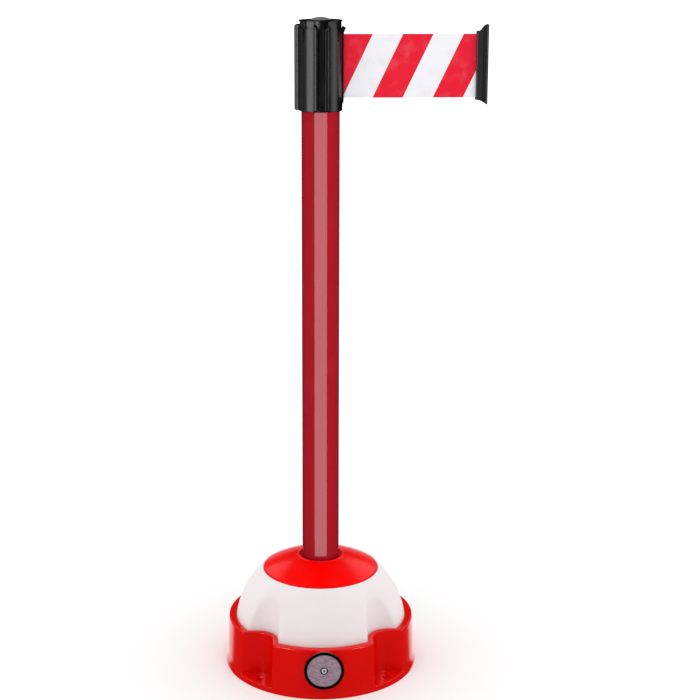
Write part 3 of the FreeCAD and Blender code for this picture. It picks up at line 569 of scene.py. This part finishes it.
def base_skirt(material):
    """One closed shell: under the foot, round its edge, up the wall, over the rim and back down, with a seat
    for the dome, a boss for the round fitting and four countersunk floor holes."""
    seat = dome_radius(DOME_LOW) + 0.5 * MM
    seat_side = FLUTE_SIDE + 0.5 * MM
    ledge, soft_edge = 4 * MM, 1.1 * MM
    ceiling = RIM_TOP - 8 * MM

    def seat_ring(grow, height):
        return lobed(seat + grow, seat_side + grow, 4 * MM, height)

    def inside_ring(height):
        share = (height - FOOT_TOP) / (RIM_TOP - FOOT_TOP)
        radius = WALL_LOW + (WALL_TOP - WALL_LOW) * share - WALL_THICK
        return lobed(radius, NOTCH_SIDE - (height - FOOT_TOP) * NOTCH_DRAFT - WALL_THICK, 3 * MM, height)

    rings = [inside_ring(0.0)] + foot_rings()
    plain_wall = np.linspace(FLARE_TOP + 6 * MM, RIM_TOP - RIM_ROUND - 4 * MM, 6)
    rings += [wall_ring(height) for height in plain_wall]
    for turn in np.radians(np.linspace(0, 90, 8)):
        rings.append(wall_ring(RIM_TOP - RIM_ROUND * (1 - math.sin(turn)), -RIM_ROUND * (1 - math.cos(turn))))
    for turn in np.radians(np.linspace(90, 0, 6)):
        rings.append(seat_ring(soft_edge * (1 - math.cos(turn)), RIM_TOP - soft_edge * (1 - math.sin(turn))))
    rings += [seat_ring(0, DOME_LOW), seat_ring(-ledge, DOME_LOW), seat_ring(-ledge, ceiling)]
    rings += [inside_ring(ceiling), inside_ring(ceiling / 2)]
    skirt = piece("skirt", loft(rings, looped=True))

    sunk = -8 * MM
    boss_edge = rounded([(0, sunk), (DISC_RADIUS, sunk), (DISC_RADIUS, 0, 0.7 * MM), (0, 0)])
    shape(skirt, [facing_front(lathe(boss_edge, 96))], "UNION")
    wide, below, above = FLOOR_HOLE_RADIUS + 0.85 * MM, -1 * MM, 14 * MM
    hole = [(0, below), (FLOOR_HOLE_RADIUS, below), (FLOOR_HOLE_RADIUS, FOOT_TOP - 0.7 * MM),
            (wide, FOOT_TOP + 0.4 * MM), (wide, above), (0, above)]
    outwards = Matrix.Translation((FLOOR_HOLE_CIRCLE, 0, 0))
    holes = [turned(moved(lathe(hole, 40), outwards), turn) for turn in (45, 135, 225, 315)]
    shape(skirt, holes, "DIFFERENCE")
    finished(skirt, "stand", material, ["base_skirt"], crease=35)


def soft_minimum(first, second, width):
    """The smaller of two distances, with the crease between them rounded over width."""
    overlap = np.maximum(width - np.abs(first - second), 0) / width
    return np.minimum(first, second) - overlap ** 2 * width / 4


def fluted_ring(height, turns, inwards=0.0):
    """The dome's outline at a height: a sphere's circle with four soft flutes that fade out towards the top.
    Each point's radius is found by halving, and inwards thins the shell."""
    sphere = math.sqrt((DOME_SPHERE - inwards) ** 2 - (height - DOME_CENTRE) ** 2)
    side = FLUTE_SIDE - (height - DOME_LOW) * FLUTE_DRAFT - inwards
    softness = 2.5 * MM + 5 * MM * min(max((height - DOME_LOW) / (DOME_TOP - DOME_LOW), 0), 1)
    x, y = np.abs(np.cos(turns)), np.abs(np.sin(turns))
    near, far = np.zeros(len(turns)), np.full(len(turns), sphere)
    for _ in range(40):
        radius = (near + far) / 2
        away_x, away_y = NOTCH_CENTRE - radius * x, NOTCH_CENTRE - radius * y
        hollow = np.hypot(np.maximum(away_x, 0), np.maximum(away_y, 0))
        beyond = (away_x < 0) & (away_y < 0)
        clear = np.where(beyond, -1.0, hollow - (NOTCH_CENTRE - side))
        inside = soft_minimum(sphere - radius, clear, softness) > 0
        near, far = np.where(inside, radius, near), np.where(inside, far, radius)
    return upright(np.column_stack([near * np.cos(turns), near * np.sin(turns)]), height)


def dome(material):
    """The white shell: up its fluted outside, over its lip into the cap's recess, and back down inside."""
    turns = np.radians(np.arange(0, 360, 0.75))
    lip, wall = 0.9 * MM, 3.5 * MM

    def plain(radius, height):
        return upright(np.column_stack([radius * np.cos(turns), radius * np.sin(turns)]), height)

    rings = [fluted_ring(height, turns) for height in np.linspace(DOME_LOW, DOME_TOP - lip, 64)]
    top_radius, recess = dome_radius(DOME_TOP - lip), CAP_RADIUS + 0.8 * MM
    ledge, ceiling = CAP_RADIUS - 8 * MM, CAP_SEAT - 4 * MM
    rings += [plain(radius, height) for radius, height in (
        (top_radius - 0.45 * MM, DOME_TOP - 0.25 * MM), (top_radius - lip, DOME_TOP),
        (recess + 0.4 * MM, DOME_TOP), (recess, DOME_TOP - 0.5 * MM),
        (recess, CAP_SEAT), (ledge, CAP_SEAT), (ledge, ceiling),
    )]
    rings += [fluted_ring(height, turns, wall) for height in np.linspace(ceiling, DOME_LOW, 20)]
    made = piece("dome", loft(rings, looped=True))
    finished(made, "stand", material, ["dome_shell"], crease=40)


def cap(material):
    """Shallow cap with a rolled edge and a bead round the post."""
    sphere, centre = 196 * MM, -8.6 * MM
    hole, wall = 35 * MM, 3 * MM

    def top(radius, depth=0.0):
        """The height of the cap's domed top, or of its underside."""
        return math.sqrt((sphere - depth) ** 2 - radius ** 2) + centre

    edge = 2.2 * MM
    corner = top(CAP_RADIUS - edge) - edge * 1.05
    profile = [(CAP_RADIUS, CAP_SEAT), *arc((CAP_RADIUS - edge, corner), edge, 0, 65, 6)]
    profile += [(radius, top(radius)) for radius in np.linspace(CAP_RADIUS - edge * 1.6, hole + 3.4 * MM, 26)]
    bead = high("dome_cap").z - 1.5 * MM
    profile += list(arc((hole + 1.4 * MM, bead), 1.5 * MM, 20, 180, 10))
    collar, ledge, bore = hole + 2.4 * MM, top(hole) - 5 * MM, 30.3 * MM
    profile += [(hole, ledge + 0.8 * MM), (hole - 0.8 * MM, ledge), (bore, ledge)]
    profile += [(bore, ledge - 6 * MM), (collar, ledge - 6 * MM)]
    inner = CAP_RADIUS - wall
    profile += [(radius, top(radius, wall)) for radius in np.linspace(collar, inner, 12)]
    profile += [(inner, CAP_SEAT)]
    made = piece("cap", lathe(profile, 192, looped=True))
    finished(made, "stand", material, ["dome_cap"])


def round_fitting(black, metal, steel):
    """Black cup, grained face with a thin bevel, and a button screw with a hexagon recess. Its outlines are
    in millimetres, outwards from the fitting's own axis and up from its seat."""
    r = DISC_RADIUS / MM
    # The cup's rim reaches 0.7 mm past the fitting's radius: this black band is partly the real cup's edge and
    # partly a painted shadow, standing for the contact shade round the cup.
    cup = rounded([(0, 0), (r, 0), (r + 0.7, 0.6, 0.3), (r + 0.7, 4.2, 0.9), (r - 3.6, 4.2, 0.5),
                   (r - 3.9, 1.6), (0, 1.6)])
    made = piece("disc_ring", facing_front(lathe(cup * MM)))
    finished(made, "stand", black, ["disc_cup"])
    face = r - 4.05
    plate = rounded([(6.3, 1.62), (face, 1.62), (face, 3.1), (face - 0.9, 3.8, 0.2), (6.3, 3.8, 0.3)])
    made = piece("disc_plate", facing_front(lathe(plate * MM, looped=True)))
    finished(made, "stand", metal, ["disc_face"])
    shank, button = 2.5, 4.1
    head = rounded([(0, -14), (shank, -14), (shank, 1.8), (button, 1.8), (button, 3.6, 0.5),
                    (button - 0.6, 4.4, 0.4), (0, 4.4)])
    made = piece("disc_bolt", facing_front(lathe(head * MM, 64)))
    hexagon = arc((0, 0), 2.2 * MM, 30, 330, 5)
    shape(made, [facing_front(block(hexagon, -2 * MM, 6 * MM))], "DIFFERENCE")
    finished(made, "stand", steel, ["disc_screw"])


# ---- post and head ------------------------------------------------------------------------------

HEAD_RADIUS = 34 * MM
HEAD_LOW = low("head_housing").z
RAIL_TOP = high("head_housing").z
HOUSING_TOP = low("top_cap").z + 4 * MM
RAIL_FACE = -low("head_housing").x
BEAK_FACE = high("head_housing").x
LID_TOP = high("top_cap").z
LID_RADIUS = 33.9 * MM
RAIL_LOW = HEAD_LOW + 1.8 * MM
CHANNEL_FLOOR = 928 * MM


def post(material):
    """The tube, with a slight chamfer at its top."""
    radius, bottom, top = high("post_tube").x, low("post_tube").z, high("post_tube").z
    wall = 3 * MM
    profile = [(radius, bottom)] + [(radius, z) for z in np.linspace(bottom + 5 * MM, top - 1 * MM, 12)]
    profile += [(radius - 0.3 * MM, top), (radius - wall, top), (radius - wall, bottom)]
    made = piece("post", lathe(profile, 160, looped=True))
    finished(made, "stand", material, ["post_tube"])


def rail(degrees):
    """One receiver: a C-shaped rail, its lips leaning back to a rounded top and parting into a lead-in."""
    half, back, inner_back = 12.1 * MM, 30.8 * MM, 33.2 * MM
    lip_inner, channel, mouth_half = RAIL_FACE - 2.4 * MM, 10.25 * MM, 6.25 * MM
    top_round, draft, lip_round = 5 * MM, 1.1 * MM, 0.7 * MM
    flare_low, flare_high, flare = RAIL_TOP - 12 * MM, RAIL_TOP - 1.5 * MM, 2.6 * MM

    def ring(height, lean, mouth):
        """The outline at a height. The face's rounding leaves room for the mouth's, so they never cross."""
        face, lip = RAIL_FACE - lean, max(lip_inner - lean, inner_back + 0.3 * MM)
        face_round = min(3.2 * MM, half - draft - mouth - 0.8 * MM)
        corners = [(half, back), (half, max(face - 5.2 * MM, back + MM), 0.3 * MM),
                   (half - draft, face, face_round), (mouth, face, lip_round), (mouth, lip, lip_round),
                   (channel, lip, 0.2 * MM), (channel, inner_back)]
        corners += [(-corner[0], *corner[1:]) for corner in corners[::-1]]
        return upright(rounded(corners, 4), height)

    levels = edge_levels(RAIL_LOW, RAIL_TOP, 2.0 * MM, top_round, 7)
    levels += [(height, 0.0) for height in np.linspace(flare_low, RAIL_TOP - top_round, 6)[:-1]]
    rings = []
    for height, lean in sorted(levels):
        share = min(max((height - flare_low) / (flare_high - flare_low), 0), 1)
        rings.append(ring(height, lean, mouth_half + flare * share ** 1.6))
    return turned(loft(rings), degrees - 90)


def box(half, near, far, bottom, top, degrees):
    """A plain box that faces outwards, between two distances from the axis."""
    corners = [(half, near), (half, far), (-half, far), (-half, near)]
    return turned(block(corners, bottom, top), degrees - 90)


def channel_floor(degrees):
    """The step that a T-plate lands on."""
    return box(10.6 * MM, 32 * MM, 38.5 * MM, RAIL_LOW + 0.4 * MM, CHANNEL_FLOOR, degrees)


def outlet():
    """The belt's outlet on +X: two lips in one block, with the beak above it."""
    bottom, top = CHANNEL_FLOOR + 1.5 * MM, HOUSING_TOP + 2.5 * MM
    back, lips, half = 30.8 * MM, 35.7 * MM, 8 * MM
    corners = [
        (back, bottom), (33.7 * MM, bottom, 0.8 * MM), (lips, bottom + 5 * MM, 4 * MM),
        (lips, top - 9 * MM, 7 * MM), (BEAK_FACE - 0.7 * MM, top - 3 * MM, 0.4 * MM),
        (BEAK_FACE, top - 1.8 * MM, 0.4 * MM), (35.5 * MM, top, 3 * MM), (back, top),
    ]
    return block(corners, -half, half, 0.9 * MM, 0.9 * MM, sideways)


def slit(degrees):
    """A tapered groove in the barrel's wall, 2.3 mm deep, below the lid."""
    top, bottom = HOUSING_TOP + 0.5 * MM, HOUSING_TOP - 20 * MM
    wide, narrow = 2.1 * MM, 0.7 * MM
    corners = [(-narrow, bottom), (narrow, bottom), (wide, top), (-wide, top)]
    return turned(block(corners, HEAD_RADIUS - 2.3 * MM, HEAD_RADIUS + 3 * MM, place=sideways), degrees - 90)


def head(material):
    """Barrel with three receivers and the belt outlet, cut clear for the lid, the belt, T-plates and slits.
    The lid's cutter shares no face with the barrel, so that the boolean holds."""
    wall, floor_thick = 3 * MM, 2.5 * MM
    barrel = rounded([
        (0, HEAD_LOW), (HEAD_RADIUS, HEAD_LOW, 1.3 * MM), (HEAD_RADIUS, HOUSING_TOP, 0.6 * MM),
        (HEAD_RADIUS - wall, HOUSING_TOP), (HEAD_RADIUS - wall, HEAD_LOW + floor_thick),
        (0, HEAD_LOW + floor_thick),
    ])
    made = piece("head", lathe(barrel, 144))
    receivers = (90, 180, 270)
    added = [rail(turn) for turn in receivers] + [channel_floor(turn) for turn in receivers]
    shape(made, [*added, outlet()], "UNION")

    clear, seat, above = LID_RADIUS + 0.27 * MM, HOUSING_TOP + 0.13 * MM, 1.1
    lid_space = lathe([(0, seat), (clear, seat), (clear, above), (0, above)], 150)
    gap, flare, spare = 1.3 * MM, 2.6 * MM, 2.5 * MM
    slot = [(28 * MM, -gap), (34.6 * MM, -gap), (36.2 * MM, -flare), (42 * MM, -flare)]
    slot += [(x, -y) for x, y in slot[::-1]]
    cuts = [lid_space, block(slot, low("belt_span").z - spare, high("belt_span").z + spare)]
    cuts += [box(10 * MM, 33.2 * MM, 37 * MM, CHANNEL_FLOOR, RAIL_TOP + 5 * MM, turn) for turn in receivers]
    shape(made, cuts, "DIFFERENCE")
    shape(made, [slit(turn) for turn in (39.5, 140.5, 219.5, 320.5)], "DIFFERENCE")
    finished(made, "stand", material, ["head_housing"], crease=30)


def lid_tab(degrees):
    """A raised tab with round lower corners, wrapped on the lid's band."""
    half, bottom, top = 6.8 * MM, HOUSING_TOP + 2.4 * MM, LID_TOP - 2.2 * MM
    corners = [(-half, bottom, 3.5 * MM), (half, bottom, 3.5 * MM), (half, top), (-half, top)]
    rings = []
    for radius, amount in edge_levels(31 * MM, LID_RADIUS - 0.4 * MM, 0, 0.6 * MM):
        flat = rounded(shrunk(corners, amount), 6)
        turns = flat[:, 0] / LID_RADIUS + math.radians(degrees)
        rings.append(np.column_stack([radius * np.cos(turns), radius * np.sin(turns), flat[:, 1]]))
    return loft(rings)


def lid(material):
    """A core with eight tabs under a sloped brim, and a recess for the insert."""
    core, recess = 32.3 * MM, high("cap_insert").x + 0.15 * MM
    profile = rounded([
        (0, HOUSING_TOP), (core, HOUSING_TOP), (core, LID_TOP - 2.6 * MM),
        (LID_RADIUS, LID_TOP - 2 * MM, 0.3 * MM), (LID_RADIUS, LID_TOP - 0.6 * MM, 0.5 * MM),
        (LID_RADIUS - 3 * MM, LID_TOP, 3 * MM), (recess, LID_TOP, 0.4 * MM),
        (recess, LID_TOP - 2 * MM), (0, LID_TOP - 2 * MM),
    ], 4)
    made = piece("lid", lathe(profile, 144))
    tabs = [lid_tab(quarter + side * 30.5) for quarter in range(0, 360, 90) for side in (-1, 1)]
    shape(made, tabs, "UNION")
    finished(made, "stand", material, ["top_cap"], crease=30)


def insert(material):
    """A plug with a shallow spherical top."""
    radius, bottom, top = high("cap_insert").x, low("cap_insert").z, high("cap_insert").z
    edge = LID_TOP + 0.4 * MM
    rise = top - edge
    sphere = (radius ** 2 + rise ** 2) / (2 * rise)
    profile = [(0, bottom), (radius, bottom), (radius, edge - 0.3 * MM)]
    profile.append((radius - 0.3 * MM, edge + 0.05 * MM))
    for reach in np.linspace(radius - 0.9 * MM, 0, 12):
        profile.append((reach, math.sqrt(sphere ** 2 - reach ** 2) + top - sphere))
    made = piece("lid_insert", lathe(profile, 96))
    finished(made, "stand", material, ["cap_insert"])


# ---- belt and clip ------------------------------------------------------------------------------

CLIP_SCREW_X = (low("clip_screws").x + high("clip_screws").x) / 2


def clip_corners(near, far):
    """The clip's side view between two places along X, in millimetres from its inner face: S-curved over the
    top and flared below."""
    x0, z0, z1 = low("clip_front").x, low("clip_front").z, high("clip_front").z
    lower = [(0, 7.7), (6, 7.0, 14), (18, 0)]
    upper = [(0, -10.5), (6.3, -10.2, 6), (12.2, -1.6, 6), (18, 0)]

    def between(curve, height):
        places, heights = [corner[0] for corner in curve], [corner[1] for corner in curve]
        ends = [(x, np.interp(x, places, heights), 0.4) for x in (near, far)]
        inside = [corner for corner in curve if near < corner[0] < far]
        return [(x0 + x * MM, height + z * MM, radius * MM) for x, z, radius in [ends[0], *inside, ends[1]]]

    return between(lower, z0) + between(upper, z1)[::-1]


def screw_heights():
    """The heights of the clip's three screws."""
    bottom, top = low("clip_screws").z + 2.4 * MM, high("clip_screws").z - 2.4 * MM
    return [bottom, (bottom + top) / 2, top]


def clip_half(name, side, material, node):
    """Half of the end clip, in three layers: body, grip and T-plate. side is -1 for the front half and 1 for
    the back one, which has the wells of the screws."""
    layers = ((0, 18, 4.8 * MM, 0.4 * MM), (0, 10.2, 7 * MM, 1.4 * MM), (15, 18, 9.7 * MM, 1.3 * MM))

    def outwards(outline, depth):
        return sideways(outline, side * depth)

    body, *others = [block(clip_corners(near, far), 0, depth, 0.2 * MM, edge, outwards, 7)
                     for near, far, depth, edge in layers]
    made = piece(name, body)
    shape(made, others, "UNION")
    slot_half, spare = 0.5 * MM, 0.6 * MM
    near, far = low("clip_front").x - 2 * MM, low("clip_front").x + 6 * MM
    slot = [(near, -slot_half), (far, -slot_half), (far, slot_half), (near, slot_half)]
    cuts = [block(slot, low("belt_span").z - spare, high("belt_span").z + spare)]
    if side > 0:
        well = np.array([(0, 5.4), (2.6, 5.4), (2.6, 6.6), (3.0, 7.4), (3.0, 9), (0, 9)]) * MM
        for z in screw_heights():
            spot = Matrix.Translation((CLIP_SCREW_X, 0, z)) @ Matrix.Rotation(-math.pi / 2, 4, "X")
            cuts.append(moved(lathe(well, 32), spot))
    shape(made, cuts, "DIFFERENCE")
    finished(made, "belt_end", material, [node], crease=30)


def belt_path():
    """The belt's line from above: off the roll, round the outlet's inner edge, along +X and round the pin."""
    bend = 30.6 * MM
    roll = high("belt_roll").x + 0.5 * MM
    pin_x = (low("clip_pin").x + high("clip_pin").x) / 2
    lean = math.acos(roll / bend)
    start = np.array([roll * math.cos(lean), roll * math.sin(lean)])
    before = start + (np.array([bend, 0]) - start) * 0.97
    return np.vstack([
        line(start, before, 6),
        [(bend + 0.6 * MM, 0)],
        line((bend + 2 * MM, 0), (pin_x - 3.2 * MM, 0), 60),
        arc((pin_x, 0), 1.45 * MM, 165, -165, 20),
    ])


def belt(material):
    """The belt as one thin strip with pointed selvedges, from the roll round the outlet's edge to just past
    the clip's pin."""
    bottom, top = low("belt_span").z, high("belt_span").z
    path = belt_path()
    along = np.gradient(path, axis=0)
    along /= np.linalg.norm(along, axis=1)[:, None]
    across = np.column_stack([-along[:, 1], along[:, 0]])
    half_thick, selvedge = 0.2 * MM, 0.6 * MM
    levels = np.linspace(bottom + selvedge, top - selvedge, 26)
    section = [(bottom, 0.0), *((z, half_thick) for z in levels)]
    section += [(top, 0.0), *((z, -half_thick) for z in levels[::-1])]
    lines = np.array([upright(path + across * offset, z) for z, offset in section])
    made = piece("belt", loft(lines.swapaxes(0, 1)))
    finished(made, None, material, ["belt_span"], crease=60)
    made.modifiers.clear()
    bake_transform(made)


# ---- stage --------------------------------------------------------------------------------------


def panel(name, place, target, size, radiance, only=None, diffuse=True, glossy=True):
    """A soft panel aimed at a point. only is a collection of the pieces that it lights."""
    width, height = size
    data = bpy.data.lights.new(name, "AREA")
    data.shape, data.size, data.size_y = "RECTANGLE", width, height
    data.energy = radiance * math.pi * width * height
    light = bpy.data.objects.new(name, data)
    light.location = place
    light.rotation_euler = (Vector(target) - Vector(place)).to_track_quat("-Z", "Y").to_euler()
    light.visible_camera = False
    light.visible_diffuse = diffuse
    light.visible_glossy = glossy
    bpy.context.scene.collection.objects.link(light)
    if only is not None:
        light.light_linking.receiver_collection = only


def camera():
    """A little above the head and two degrees left of the front, looking down."""
    distance, height, azimuth, tilt = 2.4417, 1.1711, -2.0, 13.34
    data = bpy.data.cameras.new("camera")
    data.lens, data.sensor_width = 80.37, 36
    data.shift_x, data.shift_y = 0.042, -0.05
    made = bpy.data.objects.new("camera", data)
    turn = math.radians(azimuth)
    made.location = (distance * math.sin(turn), -distance * math.cos(turn), height)
    made.rotation_euler = (math.radians(90 - tilt), 0, turn)
    bpy.context.scene.collection.objects.link(made)
    bpy.context.scene.camera = made


def world():
    """White to the camera, a soft fill to surfaces, and nearly dark in reflections, which show the panels."""
    made = bpy.data.worlds.new("studio")
    bpy.context.scene.world = made
    made.use_nodes = True
    nodes, links = made.node_tree.nodes, made.node_tree.links
    made.cycles.sampling_method = "NONE"
    background = nodes["Background"]
    background.inputs["Color"].default_value = (1, 1, 1, 1)
    path = nodes.new("ShaderNodeLightPath")
    fill, mirrored = 0.61, 0.02
    glossy = nodes.new("ShaderNodeMapRange")
    glossy.inputs["To Min"].default_value, glossy.inputs["To Max"].default_value = fill, mirrored
    links.new(path.outputs["Is Glossy Ray"], glossy.inputs["Value"])
    seen = nodes.new("ShaderNodeMath")
    seen.operation = "MAXIMUM"
    links.new(path.outputs["Is Camera Ray"], seen.inputs[0])
    links.new(glossy.outputs["Result"], seen.inputs[1])
    links.new(seen.outputs["Value"], background.inputs["Strength"])


def floor():
    """A large pale disc that brightens away from the object, so that only its contact shadow shows."""
    mesh = bmesh.new()
    bmesh.ops.create_circle(mesh, cap_ends=True, segments=96, radius=80)
    made = piece("floor", mesh)
    finish = Finish("floor", (0.9, 0.9, 0.9), 0.9, Specular_IOR_Level=0.0)
    distance = finish.add("ShaderNodeVectorMath", operation="LENGTH")
    finish.link(finish.place, distance.inputs[0])
    glow = finish.between(distance.outputs["Value"], 0.15, 1.2, 0.22, 0.75)
    finish.link(glow, finish.shader.inputs["Emission Strength"])
    finish.shader.inputs["Emission Color"].default_value = (1, 1, 1, 1)
    made.data.materials.append(finish.material)
    made.visible_glossy = False
    made.visible_shadow = False


def group(name, pieces):
    """A collection of finished pieces, for a panel that lights only them."""
    made = bpy.data.collections.new(name)
    for piece_name in pieces:
        made.objects.link(bpy.data.objects[piece_name])
    return made


def lights():
    """Broad fills from the front and above, softboxes beside and behind the base, and panels for the gloss of
    the post and of the black head."""
    base = group("base_pieces", ("skirt", "dome", "cap", "disc_ring", "disc_plate", "disc_bolt"))
    tube = group("post_pieces", ("post",))
    skirt = group("skirt_pieces", ("skirt",))
    black = group("head_pieces", ("head", "lid", "lid_insert", "clip_front_half", "clip_back_half"))
    panel("front_fill", (0.2, -2.6, 1.0), (0, 0, 0.5), (2.4, 2.4), 0.12, glossy=False)
    panel("overhead", (0, -0.3, 2.6), (0, 0, 0), (1.6, 1.6), 1.7, glossy=False)
    away, half_angle = 1.7, math.radians(38)
    stripe_size = (2 * away * math.tan(half_angle), 2.2)
    panel("stripe", (-0.06, -away, 0.05), (-0.06, 0, 0.05), stripe_size, 3.2, tube, diffuse=False)
    panel("post_fill", (0.32, -2.28, 0.6), (0, 0, 0.55), (1.6, 2.2), 2.4, tube, glossy=False)
    panel("low_back", (0, 1.6, -0.6), (0, 0, 0.05), (2.9, 1.1), 1.3, base, diffuse=False)
    panel("far_back", (0, 2.2, 0.15), (0, 0, 0.15), (2.4, 0.7), 0.35, base, diffuse=False)
    for side in (-1, 1):
        panel(f"side_{side}", (side * 1.8, 0.9, 1.7), (0, 0.5, 0.1), (4.8, 1.4), 1.2, base)
        panel(f"edge_{side}", (side * 1.5, -1.3, 1.3), (0, 0, 0.1), (0.7, 0.7), 34.0, skirt, diffuse=False)
    panel("head_left", (-1.26, -0.82, 1.0), (0, 0, 0.98), (1.15, 1.6), 3.3, black)
    panel("head_far_left", (-1.45, 0.4, 1.0), (0, 0, 0.98), (1.6, 1.6), 0.22, black)
    panel("head_near_left", (-0.51, -1.41, 1.0), (0, 0, 0.98), (0.32, 1.6), 5.5, black, diffuse=False)
    panel("head_right", (1.434, -0.44, 1.0), (0, 0, 0.98), (1.0, 1.6), 1.6, black)


# ---- the whole ----------------------------------------------------------------------------------

bpy.context.scene.view_settings.view_transform = "Standard"
camera()
world()
floor()

steel = plated_steel("zinc_steel", (0.80, 0.81, 0.83), 0.3)
ground_steel = plated_steel("spindle_steel", (0.55, 0.55, 0.56), 0.22)
satin, gloss, grey = black_satin(), black_gloss(), grey_plastic()
fabric = belt_fabric(NODES["clip_pin"])

base_skirt(skirt_plastic())
dome(dome_plastic())
cap(cap_plastic())
round_fitting(gloss, disc_metal(), steel)
post(tube_paint())
head(gloss)
lid(gloss)
insert(pale_plastic())
clip_half("clip_front_half", -1, satin, "clip_front")
clip_half("clip_back_half", 1, satin, "clip_back")
belt(fabric)

# The inner pieces keep their CAD shapes.
INNER = {
    "ballast_block": cast_weight(), "post_socket": grey, "bottom_plate": satin, "base_screws": steel,
    "disc_nut": steel, "tube_foot_plug": grey, "post_bolt": steel, "post_washer": steel, "post_nut": steel,
    "head_adapter": grey, "head_screws": steel, "spindle": ground_steel, "spindle_nut": steel,
    "thrust_washers": grey, "spool": grey, "spring_cup": grey, "power_spring": ground_steel,
    "belt_roll": fabric, "clip_pin": ground_steel, "clip_screws": steel,
}
for node, material in INNER.items():
    NODES[node].data.materials.clear()
    NODES[node].data.materials.append(material)

lights()
